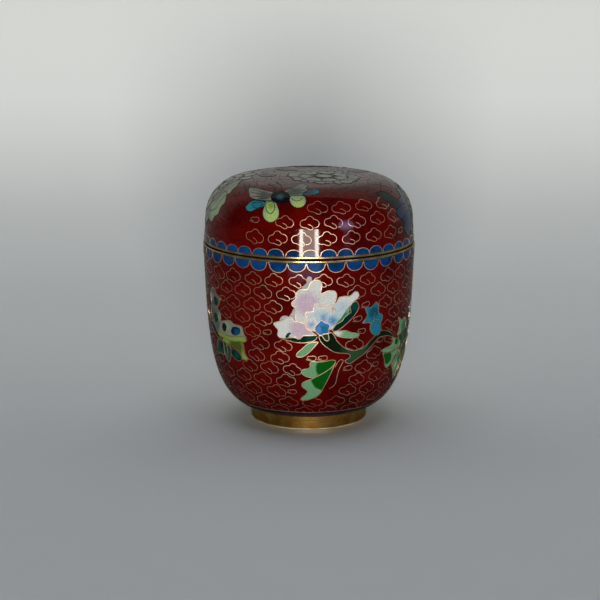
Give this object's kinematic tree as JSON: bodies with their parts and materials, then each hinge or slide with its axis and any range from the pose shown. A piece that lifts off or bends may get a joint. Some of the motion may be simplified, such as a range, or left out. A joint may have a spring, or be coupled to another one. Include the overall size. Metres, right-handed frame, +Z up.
{
  "type": "lidded tea caddy",
  "caption": "Round squat cloisonne tea caddy: enamelled bowl on a brass foot ring, with a domed lift-off lid over a brass neck.",
  "frame": {"origin": "centre of the foot ring's flat underside, on the surface that the caddy stands on", "axes": "+Z up along the turning axis; -Y is the side with the main peony spray; +X is to that side's right"},
  "size_m": [0.076, 0.076, 0.0895],
  "materials": {
    "enamel": "oxblood vitreous enamel on copper, polished to a gloss, with gilt wire cells inlaid flush",
    "gilt_brass": "gilt brass, polished, softly worn"
  },
  "bodies": {
    "root": {"body_bowl": "enamel", "lid_dome": "enamel", "foot_ring": "gilt_brass", "mouth_ring": "gilt_brass", "lid_ring": "gilt_brass"}
  },
  "joints": []
}
